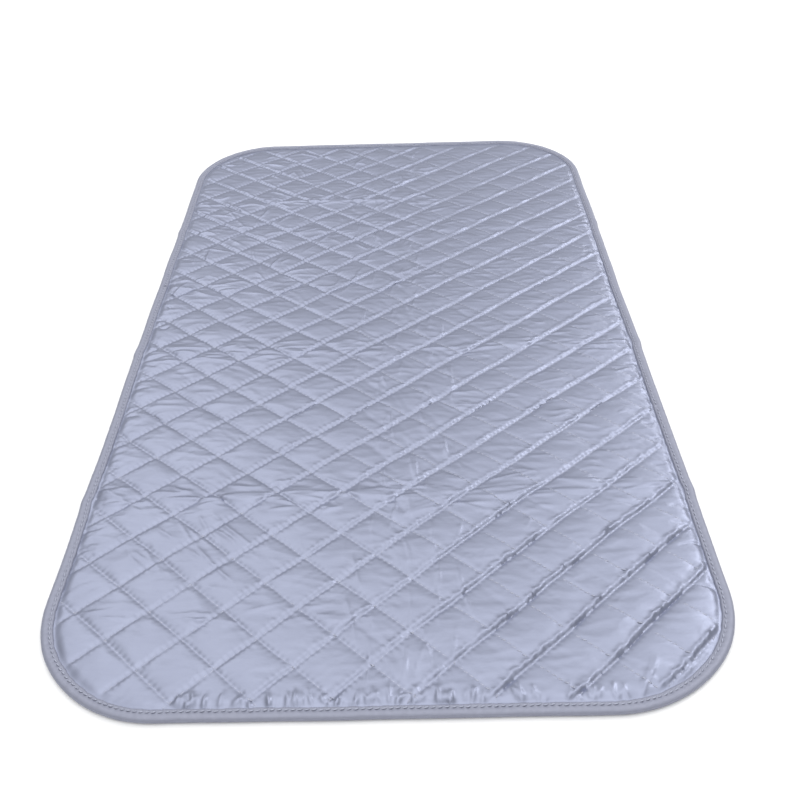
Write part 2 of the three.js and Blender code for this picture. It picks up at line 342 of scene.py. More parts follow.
def length_setting(name, description, default):
    """A length that a user can change."""
    return FloatProperty(name=name, description=description, default=default, unit="LENGTH")


def angle_setting(name, description, default):
    """An angle that a user can change."""
    return FloatProperty(name=name, description=description, default=default, subtype="ANGLE")


def power_setting(name, description, default):
    """A light's power that a user can change."""
    return FloatProperty(name=name, description=description, default=default, unit="POWER")


def colour_setting(name, description, default):
    """A colour that a user can change."""
    return FloatVectorProperty(
        name=name, description=description, default=default, size=3, subtype="COLOR"
    )


class PadSizes(bpy.types.PropertyGroup):
    """The pad's own sizes, in the frame's metres."""

    width: length_setting("Width", "Across the pad, binding included", CAD_HIGH.x - CAD_LOW.x)
    length: length_setting("Length", "Along the pad, binding included", CAD_HIGH.y - CAD_LOW.y)
    corner_radius: length_setting("Corner radius", "Outer radius of the rounded corners", 95 * MM)
    diamond_width: length_setting("Diamond width", "A quilted diamond from side to side", 52.4 * MM)
    diamond_length: length_setting("Diamond length", "A quilted diamond from front to rear", 44 * MM)
    quilt_centre: FloatVectorProperty(
        name="Quilt centre",
        description="A crossing of two stitch lines near the middle of the pad",
        default=(-8.5 * MM, 16 * MM),
        size=2,
        unit="LENGTH",
    )
    stitched_height: length_setting(
        "Stitched height", "Top of the cover where a stitch line draws it down", 3.2 * MM
    )
    crown_height: length_setting("Crown height", "Top of the cover at the fullest diamonds", 6.5 * MM)
    binding_width: length_setting(
        "Binding width", "How far the folded tape reaches in from the edge", 9 * MM
    )
    stitch_pitch: length_setting("Stitch pitch", "From one stitch to the next", 4.4 * MM)


class PadColours(bpy.types.PropertyGroup):
    """The pad's colours, as linear light."""

    silver: colour_setting("Silver cloth", "Coated face of the cover", (0.31, 0.335, 0.44))
    # A shaded copy of the silver, which noise streaks and patches mix in as painted sheen and shade
    silver_painted_shade: colour_setting("Worn silver", "Duller patches of the cover", (0.27, 0.29, 0.385))
    tape: colour_setting("Binding tape", "Tape sewn round the edge", (0.30, 0.315, 0.40))
    tape_shade: colour_setting("Tape shade", "Darker yarns of the tape", (0.235, 0.245, 0.315))
    backing: colour_setting("Backing cloth", "Plain cloth of the underside", (0.52, 0.54, 0.60))
    backing_shade: colour_setting("Backing shade", "Darker yarns of the plain cloth", (0.42, 0.44, 0.50))
    thread: colour_setting("Thread", "Sewing thread of the quilting and the binding", (0.43, 0.45, 0.55))
    thread_shade: colour_setting(
        "Thread shade", "Hollows between the plies of the thread", (0.35, 0.37, 0.46)
    )


class StudioSettings(bpy.types.PropertyGroup):
    """The floor, lights and camera."""

    floor: colour_setting("Floor", "Plain pale floor", (0.93, 0.93, 0.93))
    horizon: number_setting("Horizon light", "Strength of the light from low down all round", 0.22)
    zenith: number_setting("Overhead light", "Strength of the light from straight above", 2.29)
    side_dimming: number_setting("Side dimming", "How much weaker the light is from the two sides", 1.0)
    end_dimming: number_setting("End dimming", "How much weaker the light is from the two ends", 0.62)
    softbox_power: power_setting("Softbox", "Power of the large light at the rear left", 3.2)
    key_power: power_setting("Key light", "Power of the smaller light at the rear right", 9)
    window_power: power_setting("Rear light", "Power of the low light behind the pad", 5)
    camera_place: FloatVectorProperty(
        name="Camera place",
        description="Where the camera stands",
        default=(16.6 * MM, -736.4 * MM, 517.1 * MM),
        size=3,
        subtype="TRANSLATION",
        unit="LENGTH",
    )
    camera_tilt: angle_setting("Camera tilt", "How far the camera looks down", 0.6905)
    camera_turn: angle_setting("Camera turn", "How far the camera looks to the left", 0.0083)
    camera_roll: angle_setting("Camera roll", "How far the camera leans to the left", -0.0292)
    focal_pixels: number_setting("Focal length", "Focal length in pixels of the square photograph", 911.3)


def smooth_step(low, high, value):
    """0 below low, 1 above high, and a smooth rise between them."""
    share = np.clip((value - low) / (high - low), 0, 1)
    return share * share * (3 - 2 * share)


def bell(distance, reach):
    """1 at no distance, and a smooth fall to nothing within a few times the reach."""
    return np.exp(-((distance / reach) ** 2))


def noise_at(x, y, period, layer):
    """Smooth noise from -1 to 1 at each point."""
    return np.array([noise.noise((a / period, b / period, layer)) for a, b in zip(x, y)])


def vertex_places(mesh):
    """A mesh's vertices as an array with a row for each."""
    places = np.zeros(len(mesh.vertices) * 3, np.float32)
    mesh.vertices.foreach_get("co", places)
    return places.reshape(-1, 3).astype(float)


def move_vertices(mesh, places):
    """Puts a mesh's vertices at the places of an array."""
    mesh.vertices.foreach_set("co", places.astype(np.float32).ravel())
    mesh.update()


def vertex_values(mesh, name):
    """A float attribute of a mesh's vertices."""
    values = np.zeros(len(mesh.vertices), np.float32)
    mesh.attributes[name].data.foreach_get("value", values)
    return values.astype(float)


def loop_corners(mesh):
    """The vertex at each corner of a mesh's faces."""
    corners = np.zeros(len(mesh.loops), np.int32)
    mesh.loops.foreach_get("vertex_index", corners)
    return corners


def finished_mesh(name, bm):
    """A mesh made of a bmesh, which is then done with."""
    mesh = bpy.data.meshes.new(name)
    bm.to_mesh(mesh)
    bm.free()
    return mesh


def add_object(name, data):
    """A new object in the scene."""
    made = bpy.data.objects.new(name, data)
    bpy.context.scene.collection.objects.link(made)
    return made


def beyond_straight(x, y, sizes):
    """How far points lie past the straight runs of the edge, each way, towards the corners."""
    beyond_x = np.abs(x) - (sizes.width / 2 - sizes.corner_radius)
    beyond_y = np.abs(y) - (sizes.length / 2 - sizes.corner_radius)
    return beyond_x, beyond_y


def inset_from_edge(x, y, sizes):
    """How far points lie inside the pad's outline."""
    beyond_x, beyond_y = beyond_straight(x, y, sizes)
    outside = np.hypot(np.maximum(beyond_x, 0), np.maximum(beyond_y, 0))
    inside = np.minimum(np.maximum(beyond_x, beyond_y), 0)
    return sizes.corner_radius - outside - inside


def way_out(x, y, sizes):
    """Unit vectors that point straight out to the pad's edge, for points near it."""
    beyond_x, beyond_y = (np.maximum(beyond, 0) for beyond in beyond_straight(x, y, sizes))
    reach = np.maximum(np.hypot(beyond_x, beyond_y), LINE_TOLERANCE)
    return np.sign(x) * beyond_x / reach, np.sign(y) * beyond_y / reach


def wobble(waves, u, v):
    """How far the stitch lines wander off their straight way."""
    return WOBBLE * sum(size * np.sin(by_u * u + by_v * v + start) for size, by_u, by_v, start in waves)


def quilt_to_pad(u, v, sizes):
    """Where a point of the quilting lattice lies: u and v count the stitch lines of each slant."""
    row = u + v
    x = sizes.quilt_centre[0] + sizes.diamond_width / 2 * (u - v)
    y = sizes.quilt_centre[1] + sizes.diamond_length / 2 * row
    y = y - ROW_STRETCH * np.maximum(ROW_STRETCH_START - row, 0) ** 2
    return x + wobble(WOBBLE_ACROSS, u, v), y + wobble(WOBBLE_ALONG, u, v)


def quilt_shares(u, v):
    """How far points lie from the stitch lines of each slant: 0 on a line and 1 midway to the next."""
    past_u = u - np.floor(u + LINE_TOLERANCE)
    past_v = v - np.floor(v + LINE_TOLERANCE)
    off_u = np.clip(4 * past_u * (1 - past_u), 0, 1)
    off_v = np.clip(4 * past_v * (1 - past_v), 0, 1)
    return off_u, off_v


def quilted_cloth(name, divisions, trim, sizes):
    """A flat cloth whose mesh follows the stitch lines, cut to the pad's outline less the trim."""
    bm = bmesh.new()
    bmesh.ops.create_grid(
        bm, x_segments=CELLS * divisions, y_segments=CELLS * divisions, size=CELLS / 2
    )
    quilt_u = bm.verts.layers.float.new("quilt_u")
    quilt_v = bm.verts.layers.float.new("quilt_v")
    lattice = np.array([vert.co for vert in bm.verts])
    x, y = quilt_to_pad(lattice[:, 0], lattice[:, 1], sizes)
    inset = inset_from_edge(x, y, sizes)
    for vert, u, v, across, along in zip(bm.verts, lattice[:, 0], lattice[:, 1], x, y):
        vert[quilt_u] = u
        vert[quilt_v] = v
        vert.co = (across, along, 0)
    outside = []
    for face in bm.faces:
        depth = sum(inset[vert.index] for vert in face.verts) / len(face.verts)
        if depth < trim:
            outside.append(face)
    bmesh.ops.delete(bm, geom=outside, context="FACES")
    rim = [vert for vert in bm.verts if vert.is_boundary]
    for vert in rim:
        out_x, out_y = way_out(vert.co.x, vert.co.y, sizes)
        spare = inset_from_edge(vert.co.x, vert.co.y, sizes) - trim
        vert.co.x += out_x * spare
        vert.co.y += out_y * spare
    return finished_mesh(name, bm)


def slack_places(x, y):
    """Where the points of the cloth lie before the quilting draws it in: it is cut larger than the pad."""
    slack_x = x * (1 + SLACK_ACROSS)
    slack_y = y * (1 + SLACK_ALONG)
    for number, crease in enumerate(CREASE_Y.values()):
        wander = CREASE_WANDER * noise_at(x, 0 * y, CREASE_WANDER_PERIOD, number)
        patches = noise_at(x, 0 * y, CREASE_PATCH, CREASE_PATCH_LAYER + number)
        strength = CREASE_MEAN + CREASE_SWING * patches
        slack_y += CREASE_SLACK * strength * np.tanh((y - crease - wander) / CREASE_BAND)
    strength = LONG_CREASE_MEAN + LONG_CREASE_SWING * noise_at(0 * x, y, CREASE_PATCH, LONG_CREASE_LAYER)
    slack_x += LONG_CREASE_SLACK * strength * np.tanh((x - LONG_CREASE_X) / LONG_CREASE_BAND)
    slack_x += RUMPLE * noise_at(x, y, RUMPLE_PERIOD, RUMPLE_X_LAYER)
    slack_y += RUMPLE * noise_at(x, y, RUMPLE_PERIOD, RUMPLE_Y_LAYER)
    return slack_x, slack_y


def stitch_side(sizes):
    """The length of a diamond's side, along a stitch line."""
    return math.hypot(sizes.diamond_width, sizes.diamond_length) / 2


def line_spacing(sizes):
    """From one stitch line to the next, square to them."""
    return sizes.diamond_width * sizes.diamond_length / 2 / stitch_side(sizes)


def stitch_beat(along, sizes):
    """A wave along a stitch line: 1 at the holes and -1 midway between them."""
    return np.cos(math.tau * (along + CELLS / 2) * stitch_side(sizes) / sizes.stitch_pitch)


def loose_lines(x, y):
    """How loose the stitch lines of one slant are: they hardly show on the right, and least in the middle."""
    middle = smooth_step(*LOOSE_MIDDLE_FRONT, y) * (1 - smooth_step(*LOOSE_MIDDLE_REAR, y))
    return smooth_step(*LOOSE_LINES_FROM, x + LOOSE_MIDDLE_SHIFT * middle)


def front_right(x, y):
    """1 in the front right part of the pad, where the stitch lines of one slant pull deepest."""
    return smooth_step(*FRONT_RIGHT_X, x) * smooth_step(*FRONT_RIGHT_Y, y)


def stitch_puckers(x, y, u, v, sizes):
    """How far the cloth dips at the stitch lines and their holes, and gathers up between the holes."""
    hold_u = 1 - SLACK_LINE_EASE * loose_lines(x, y)
    hold_v = 1 - CROSS_LINE_EASE * loose_lines(x, y) + FRONT_RIGHT_PULL * front_right(x, y)
    fading = LINE_FADE + REAR_LINE_FADE * smooth_step(*REAR_LIPS_FROM_Y, y)
    patches = FADE_MEAN + FADE_SWING * noise_at(x, y, LINE_FADE_PATCH, LINE_FADE_LAYER)
    fade = 1 - fading * np.clip(patches, 0, 1)
    tugs = TUG_MEAN + TUG_SWING * noise_at(x, y, STITCH_PATCH, STITCH_PATCH_LAYER)
    height = np.zeros_like(u)
    for off, along, hold in ((u, v, hold_u), (v, u, hold_v)):
        distance = np.abs(off - np.round(off)) * line_spacing(sizes)
        beat = stitch_beat(along, sizes)
        close = bell(distance, STITCH_DIP_REACH)
        beside = bell(distance, STITCH_GATHER_REACH) - close
        tug = STITCH_DIP * close * (1 + beat) / 2 + STITCH_GATHER * tugs * beside * beat
        groove = fade * hold * GROOVE_DEPTH * np.exp(-distance / GROOVE_REACH)
        height -= np.minimum(hold, 1) * tug + groove
    return height


def groove_lips(x, y, u, v, sizes):
    """Height of the cloth that bulges over the rear side of the stitch lines on the right and at the rear."""
    right = smooth_step(*LIPS_FROM_X, x)
    rear = smooth_step(*REAR_LIPS_FROM_Y, y)
    swing = LIP_SWING + REAR_LIP_SWING * rear
    patches = LIP_MEAN + swing * noise_at(x, y, LIP_PATCH, LIP_PATCH_LAYER)
    patches = np.clip(patches, LEAST_LIP * (1 - rear), MOST_LIP + REAR_MOST_LIP * rear)
    patches *= 1 + LIP_ROUGHNESS * noise_at(x, y, LIP_TOOTH, LIP_TOOTH_LAYER)
    wander = LIP_WANDER * noise_at(x, y, LIP_WANDER_PERIOD, LIP_WANDER_LAYER)
    height = np.zeros_like(x)
    for off, along, here in ((u, v, rear * (1 - right)), (v, u, right)):
        past = (off - np.floor(off)) * line_spacing(sizes) + wander
        teeth = 1 - LIP_TEETH * (1 - REAR_TEETH_EASE * rear) * stitch_beat(along, sizes)
        lip = LIP_HEIGHT * here * patches * teeth * bell(past - LIP_MIDDLE, LIP_REACH)
        height = np.maximum(height, lip)
    front = FRONT_LIP_HEIGHT * front_right(x, y) * patches
    return height + front * bell(past - FRONT_LIP_MIDDLE, FRONT_LIP_REACH)


def scattered_wrinkles(x, y, patches):
    """Height of the sharp wrinkles of some patches at each point."""
    rng = np.random.default_rng(SEED)
    height = np.zeros_like(x)
    order = np.argsort(y)
    sorted_y = y[order]
    for patch in patches:
        for _ in range(patch.count):
            middle_x = rng.uniform(*patch.across) * MM
            middle_y = rng.uniform(*patch.along) * MM
            slant = rng.normal(patch.slant, patch.spread)
            half = rng.uniform(*patch.length) / 2 * MM
            rise = rng.uniform(*patch.height) * MM
            bow = rng.uniform(-1, 1) * WRINKLE_BOW
            first, last = np.searchsorted(sorted_y, (middle_y - 2 * half, middle_y + 2 * half))
            near = order[first:last]
            near = near[np.abs(x[near] - middle_x) < 2 * half]
            off_x = x[near] - middle_x
            off_y = y[near] - middle_y
            along = (off_x * math.cos(slant) + off_y * math.sin(slant)) / half
            across = off_y * math.cos(slant) - off_x * math.sin(slant) - bow * along**2
            height[near] += rise * np.clip(1 - along**2, 0, 1) * np.exp(-np.abs(across) / WRINKLE_WIDTH)
    return height


def settle_cloth(mesh, slack, drawn_in, held):
    """Draws the held points of a slack cloth in to their places, and lets the rest buckle and puff up."""
    scene = bpy.context.scene
    cloth = add_object("settling_cloth", mesh)
    move_vertices(mesh, slack * CLOTH_SCALE)
    stitched = cloth.vertex_groups.new(name="stitched")
    stitched.add([int(i) for i in np.nonzero(held)[0]], 1.0, "REPLACE")
    cloth.shape_key_add(name="slack")
    drawing = cloth.shape_key_add(name="drawn_in")
    drawing.data.foreach_set("co", (drawn_in * CLOTH_SCALE).astype(np.float32).ravel())
    drawing.value = 0
    drawing.keyframe_insert("value", frame=1)
    drawing.value = 1
    drawing.keyframe_insert("value", frame=DRAW_IN_FRAMES)
    settings = cloth.modifiers.new("settle", "CLOTH").settings
    for key, value in CLOTH_SETTINGS.items():
        setattr(settings, key, value)
    settings.effector_weights.gravity = 0
    settings.vertex_group_mass = stitched.name
    for number in range(1, SETTLE_FRAMES + 1):
        scene.frame_set(number)
    depsgraph = bpy.context.evaluated_depsgraph_get()
    settled = vertex_places(cloth.evaluated_get(depsgraph).to_mesh()) / CLOTH_SCALE
    bpy.data.objects.remove(cloth)
    bpy.data.meshes.remove(mesh)
    scene.frame_set(1)
    return settled


def subdivided(mesh):
    """A mesh made finer and rounder by a subdivision surface."""
    holder = add_object("subdividing", mesh)
    modifier = holder.modifiers.new("finer", "SUBSURF")
    modifier.levels = 1
    modifier.render_levels = 1
    depsgraph = bpy.context.evaluated_depsgraph_get()
    finer = bpy.data.meshes.new_from_object(holder.evaluated_get(depsgraph))
    bpy.data.objects.remove(holder)
    return finer


def settled_cover(sizes):
    """The whole quilted cover as a coarse mesh, drawn in at the stitch lines and puffed up between them."""
    mesh = quilted_cloth("puffed_cover", COVER_DIVISIONS, COVER_TRIM, sizes)
    flat = vertex_places(mesh)
    x = flat[:, 0]
    y = flat[:, 1]
    inset = inset_from_edge(x, y, sizes)
    off_u, off_v = quilt_shares(vertex_values(mesh, "quilt_u"), vertex_values(mesh, "quilt_v"))
    crown = (off_u * off_v) ** CROWN_FULLNESS
    field = smooth_step(sizes.binding_width, sizes.binding_width + BINDING_PRESS, inset)
    on_u_line = off_u < STITCHED_SHARE
    loose = loose_lines(x, y) * field
    tight = on_u_line & (loose < LOOSEST_HELD)
    held = tight | (off_v < STITCHED_SHARE) | (inset < sizes.binding_width)
    drawn_in = flat.copy()
    drawn_in[:, 2] = sizes.stitched_height + LOOSE_LINE_LIFT * loose * off_v * on_u_line
    slack = flat.copy()
    slack[:, 0], slack[:, 1] = slack_places(x, y)
    jitter = np.random.default_rng(SEED).normal(0, CLOTH_JITTER, len(flat))
    slack[:, 2] = sizes.stitched_height + START_CROWN * crown * field + jitter * ~held
    settled = settle_cloth(mesh.copy(), slack, drawn_in, held)
    move_vertices(mesh, settled)
    return mesh


def eased(rise, full):
    """Heights that flatten off as they come near a full height."""
    easy = full * EASY_RISE
    room = full - easy
    over = np.maximum(rise - easy, 0)
    return np.minimum(rise, easy) + room * np.tanh(over / room)


def puffed_cover(sizes):
    """The whole quilted cover as one fine mesh, with its wrinkles and the puckers of its stitch lines."""
    finer = subdivided(settled_cover(sizes))
    places = vertex_places(finer)
    rise = DOME_SHARE * (places[:, 2] - sizes.stitched_height)
    x = places[:, 0]
    y = places[:, 1]
    u = vertex_values(finer, "quilt_u")
    v = vertex_values(finer, "quilt_v")
    inset = inset_from_edge(x, y, sizes)
    field = smooth_step(sizes.binding_width, sizes.binding_width + BINDING_PRESS / 2, inset)
    off_u, off_v = quilt_shares(u, v)
    free = WRINKLE_AT_LINES + (1 - WRINKLE_AT_LINES) * np.sqrt(off_u * off_v)
    crests = 1 - 2 * np.abs(noise_at(x / CRUMPLE_LENGTH, y, CRUMPLE_PERIOD, CRUMPLE_LAYER))
    wrinkles = free * (scattered_wrinkles(x, y, PATCHES) + CRUMPLE * crests)
    puckers = GROOVE_DEPTH + stitch_puckers(x, y, u, v, sizes)
    rise += field * (wrinkles + groove_lips(x, y, u, v, sizes) + puckers)
    rise += scattered_wrinkles(x, y, GATHERS) * (inset > sizes.binding_width)
    sink = BINDING_SINK * (1 - smooth_step(*SINK_ENDS, y))
    rise -= sink * bell(inset - sizes.binding_width, BINDING_SINK_REACH)
    rise = eased(rise, sizes.crown_height - sizes.stitched_height)
    places[:, 2] = sizes.stitched_height + np.maximum(rise, -DEEPEST_PUCKER)
    move_vertices(finer, places)
    return finer


def stretch_of_diamonds(mesh, stretch, sizes):
    """The diamonds of a quilted mesh that belong to one stretch: the cut follows the stitch lines."""
    corners = loop_corners(mesh)
    starts = np.zeros(len(mesh.polygons), np.int32)
    mesh.polygons.foreach_get("loop_start", starts)
    counts = np.zeros(len(mesh.polygons), np.int32)
    mesh.polygons.foreach_get("loop_total", counts)
    first = corners[starts]
    third = corners[starts + counts // 2]
    u = vertex_values(mesh, "quilt_u")
    v = vertex_values(mesh, "quilt_v")
    cell_u = np.floor((u[first] + u[third]) / 2)
    cell_v = np.floor((v[first] + v[third]) / 2)
    middle = quilt_to_pad(cell_u + 0.5, cell_v + 0.5, sizes)[1]
    elsewhere = np.nonzero((middle < stretch.start) | (middle >= stretch.end))[0]
    bm = bmesh.new()
    bm.from_mesh(mesh)
    bm.faces.ensure_lookup_table()
    bmesh.ops.delete(bm, geom=[bm.faces[i] for i in elsewhere], context="FACES")
    return bm


def cut_for_bend(bm, faces, stretch):
    """Cuts faces into narrow strips across the crease of a stretch, so that they bend smoothly there."""
    geometry = {part for face in faces for part in (face, *face.edges, *face.verts)}
    for number in range(BEND_STRIPS + 1):
        place = (0, stretch.crease + stretch.bend * (number / BEND_STRIPS - 0.5), 0)
        cut = bmesh.ops.bisect_plane(bm, geom=list(geometry), plane_co=place, plane_no=(0, 1, 0))
        geometry = set(cut["geom"])


def close_below(bm, height, stretch):
    """Closes the open cloth of a stretch into a pad with a flat base at a height."""
    rim = [edge for edge in bm.edges if edge.is_boundary]
    skirt = bmesh.ops.extrude_edge_only(bm, edges=rim)["geom"]
    lower = [part for part in skirt if isinstance(part, bmesh.types.BMVert)]
    for vert in lower:
        vert.co.z = height
    foot = [part for part in skirt if isinstance(part, bmesh.types.BMEdge) and part.is_boundary]
    base = bmesh.ops.contextual_create(bm, geom=foot)["faces"]
    base = bmesh.ops.triangulate(bm, faces=base)["faces"]
    cut_for_bend(bm, base, stretch)
    bmesh.ops.recalc_face_normals(bm, faces=bm.faces)


def make_piece(name, bm, material):
    """A finished piece of cloth made of a bmesh: smooth, but sharp at its cut edges."""
    mesh = finished_mesh(name, bm)
    piece = place_piece(name, mesh, material)
    mesh.set_sharp_from_angle(angle=SHARP_ANGLE)
    return piece


def place_piece(name, mesh, material):
    """A smooth object for a mesh, at the origin, with its finish and a UV map laid flat over the pad."""
    mesh.name = name
    mesh.shade_smooth()
    mesh.materials.clear()
    mesh.materials.append(material)
    laid = vertex_places(mesh)[loop_corners(mesh), :2]
    pattern = mesh.uv_layers.new(name="cloth")
    pattern.uv.foreach_set("vector", laid.astype(np.float32).ravel())
    piece = add_object(name, mesh)
    return piece


def bend_piece(piece, stretch):
    """Bakes a piece's transform into its mesh; the piece neither follows the panels nor bends at the crease.
    """
    half = stretch.bend / 2
    stretch.crease - half
    stretch.crease + half
    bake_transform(piece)


class Shade:
    """A socket of a finish. Arithmetic on it adds Math nodes to the finish."""

    def __init__(self, finish, socket):
        self.finish = finish
        self.socket = socket

    def math(self, operation, left, right):
        return self.finish.node("ShaderNodeMath", {"operation": operation}, {0: left, 1: right})

    def __add__(self, other):
        return self.math("ADD", self, other)

    def __radd__(self, other):
        return self.math("ADD", other, self)

    def __rsub__(self, other):
        return self.math("SUBTRACT", other, self)

    def __mul__(self, other):
        return self.math("MULTIPLY", self, other)

    def __rmul__(self, other):
        return self.math("MULTIPLY", other, self)


class NodeMaker:
    """Adds nodes to a node tree."""

    def __init__(self, tree):
        self.tree = tree

    def node(self, kind, settings=None, inputs=None, output=0):
        """Adds a node: its settings first, then the values or links of its sockets."""
        made = self.tree.nodes.new(kind)
        for key, value in (settings or {}).items():
            setattr(made, key, value)
        for key, value in (inputs or {}).items():
            self.feed(made.inputs[key], value)
        return Shade(self, made.outputs[output])

    def feed(self, socket, value):
        """Links a shade to a socket, or sets its value."""
        if isinstance(value, Shade):
            self.tree.links.new(value.socket, socket)
        else:
            socket.default_value = value


class Finish(NodeMaker):
    """A material made of nodes, with its Principled shader."""

    def __init__(self, name):
        self.material = bpy.data.materials.new(name)
        self.material.use_nodes = True
        super().__init__(self.material.node_tree)
        self.shader = self.tree.nodes["Principled BSDF"]

    def surface(self, **inputs):
        """Sets the shader's sockets: Base_Color stands for Base Color."""
        for key, value in inputs.items():
            self.feed(self.shader.inputs[key.replace("_", " ")], value)

    def pattern(self, across, along):
        """The cloth's UV map, scaled each way."""
        place = self.node("ShaderNodeUVMap", {"uv_map": "cloth"})
        return self.node(
            "ShaderNodeVectorMath", {"operation": "MULTIPLY"}, {0: place, 1: (across, along, 1)}
        )

    def noise(self, place, scale, detail=2.0, roughness=0.5):
        """Noise from 0 to 1."""
        return self.node(
            "ShaderNodeTexNoise", {},
            {"Vector": place, "Scale": scale, "Detail": detail, "Roughness": roughness},
        )

    def yarns(self, place, direction, pitch):
        """Parallel yarns from 0 to 1."""
        return self.node(
            "ShaderNodeTexWave", {"bands_direction": direction},
            {"Vector": place, "Scale": math.tau / 20 / pitch, "Distortion": 0.4, "Detail": 1.0},
        )

    def mix(self, share, first, second):
        """A colour between two colours."""
        return self.node(
            "ShaderNodeMix", {"data_type": "RGBA"}, {0: share, 6: (*first, 1), 7: (*second, 1)}, output=2
        )

    def bump(self, height, strength, distance):
        """Normals for a height that varies from 0 to 1."""
        return self.node(
            "ShaderNodeBump", {}, {"Height": height, "Strength": strength, "Distance": distance}
        )


def silver_cloth(colours):
    """Silver-coated woven cloth: a satin sheen, fine cross wrinkles, a faint weave, and painted sheen and
    shade in streaks and patches.
    """
    finish = Finish("silver_cloth")
    place = finish.pattern(1, 1)
    streaks = finish.noise(finish.pattern(1, 4), 70, 3.0)
    patches = finish.noise(place, 30, 2.0)
    wrinkles = finish.noise(finish.pattern(1, 2), 120, 2.0, 0.5)
    weave = finish.yarns(place, "X", 0.7 * MM) + finish.yarns(place, "Y", 0.7 * MM)
    # Painted sheen and shade: noise streaks and patches mix in a shaded copy of the silver
    painted_sheen = 0.5 * streaks + 0.5 * patches
    finish.surface(
        Base_Color=finish.mix(painted_sheen, colours.silver, colours.silver_painted_shade),
        Metallic=0.55,
        Roughness=0.25 + 0.14 * patches,
        Specular_IOR_Level=0.25,
        Normal=finish.bump(wrinkles + 0.06 * weave, 0.25, 0.8 * MM),
    )
    return finish.material


def tape_cloth(colours):
    """Binding tape: close ribs across it and a soft sheen."""
    finish = Finish("binding_tape")
    place = finish.pattern(1, 1)
    ribs = 0.5 * finish.yarns(place, "X", 0.8 * MM) + 0.5 * finish.yarns(place, "Y", 0.8 * MM)
    creases = finish.noise(place, 250, 3.0)
    finish.surface(
        Base_Color=finish.mix(0.6 * creases + 0.3 * ribs, colours.tape, colours.tape_shade),
        Metallic=0.25,
        Roughness=0.42 + 0.15 * creases,
        Normal=finish.bump(creases + 0.2 * ribs, 0.4, 0.5 * MM),
    )
    return finish.material


def plain_cloth(colours):
    """Matt plain-woven cloth."""
    finish = Finish("plain_cloth")
    place = finish.pattern(1, 1)
    weave = 0.5 * finish.yarns(place, "X", 0.9 * MM) + 0.5 * finish.yarns(place, "Y", 0.9 * MM)
    slubs = finish.noise(finish.pattern(1, 5), 90, 3.0)
    finish.surface(
        Base_Color=finish.mix(0.5 * weave + 0.5 * slubs, colours.backing, colours.backing_shade),
        Roughness=0.75 + 0.15 * slubs,
        Normal=finish.bump(weave + 0.5 * slubs, 0.4, 0.3 * MM),
    )
    return finish.material


def twisted_thread(name, colours):
    """Sewing thread: plies that show as fine slanting lines."""
    finish = Finish(name)
    plies = finish.yarns(finish.pattern(1, 1), "DIAGONAL", 0.5 * MM)
    finish.surface(
        Base_Color=finish.mix(plies, colours.thread, colours.thread_shade),
        Roughness=0.4 + 0.15 * plies,
        Metallic=0.2,
        Normal=finish.bump(plies, 0.4, 0.1 * MM),
    )
    return finish.material


class PAD_OT_quilted_cover(bpy.types.Operator):
    """Puffs up the quilted cover, and cuts it into the stretches that bend at the creases"""

    bl_idname = "pad.quilted_cover"
    bl_label = "Quilted cover"

    def execute(self, context):
        sizes = context.scene.pad_sizes
        material = silver_cloth(context.scene.pad_colours)
        whole = puffed_cover(sizes)
        for stretch in STRETCHES:
            bm = stretch_of_diamonds(whole, stretch, sizes)
            close_below(bm, COVER_BASE, stretch)
            piece = make_piece(f"quilted_cover_{stretch.name}", bm, material)
            bend_piece(piece, stretch)
            for panel in stretch.panels:
                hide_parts(f"cover_{panel}", f"wadding_{panel}")
        return {"FINISHED"}


class PAD_OT_backing(bpy.types.Operator):
    """Lays the plain backing under the pad, drawn up along the stitch lines"""

    bl_idname = "pad.backing"
    bl_label = "Backing"

    def execute(self, context):
        sizes = context.scene.pad_sizes
        material = plain_cloth(context.scene.pad_colours)
        whole = quilted_cloth("whole_backing", BACKING_DIVISIONS, BACKING_TRIM, sizes)
        places = vertex_places(whole)
        inset = inset_from_edge(places[:, 0], places[:, 1], sizes)
        off_u, off_v = quilt_shares(vertex_values(whole, "quilt_u"), vertex_values(whole, "quilt_v"))
        fullness = np.sqrt(off_u * off_v)
        bound = 1 - smooth_step(sizes.binding_width - BACKING_TURN, sizes.binding_width, inset)
        field = BACKING_LOW + BACKING_GROOVE * (1 - fullness)
        places[:, 2] = field * (1 - bound) + BACKING_IN_BINDING * bound
        move_vertices(whole, places)
        for stretch in STRETCHES:
            bm = stretch_of_diamonds(whole, stretch, sizes)
            area = sum(face.calc_area() for face in bm.faces)
            cut_for_bend(bm, bm.faces, stretch)
            bmesh.ops.solidify(bm, geom=bm.faces[:], thickness=-BACKING_THICKNESS)
            bmesh.ops.recalc_face_normals(bm, faces=bm.faces)
            piece = make_piece(f"backing_cloth_{stretch.name}", bm, material)
            bend_piece(piece, stretch)
            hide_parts(*(f"backing_{panel}" for panel in stretch.panels))
        return {"FINISHED"}


# One side of the binding: its stretch, the endings of the CAD nodes that it stands for, and its two ends
Side = namedtuple("Side", "name stretch nodes start end")


def edge_length(sizes):
    """Half the straight run of a short side, half that of a long side, and the length of a corner."""
    half_x = sizes.width / 2 - sizes.corner_radius
    half_y = sizes.length / 2 - sizes.corner_radius
    return half_x, half_y, sizes.corner_radius * math.pi / 2


def binding_sides(sizes):
    """The lengths of binding, measured along the edge from the left side's rear end round by the front."""
    half_x, half_y, corner = edge_length(sizes)
    left_front = half_y - FRONT_JOIN
    left_rear = half_y - REAR_JOIN
    right = 2 * half_y + 2 * corner + 2 * half_x
    right_front = right + half_y + FRONT_JOIN
    right_rear = right + half_y + REAR_JOIN
    whole = 2 * right
    return (
        Side("front", FRONT, ("front",), left_front, right_front),
        Side(
            "middle_left", MIDDLE, ("front_middle_left", "rear_middle_left"), left_rear, left_front,
        ),
        Side(
            "middle_right", MIDDLE, ("front_middle_right", "rear_middle_right"), right_front, right_rear,
        ),
        Side("rear", REAR, ("rear",), right_rear, whole + left_rear),
    )


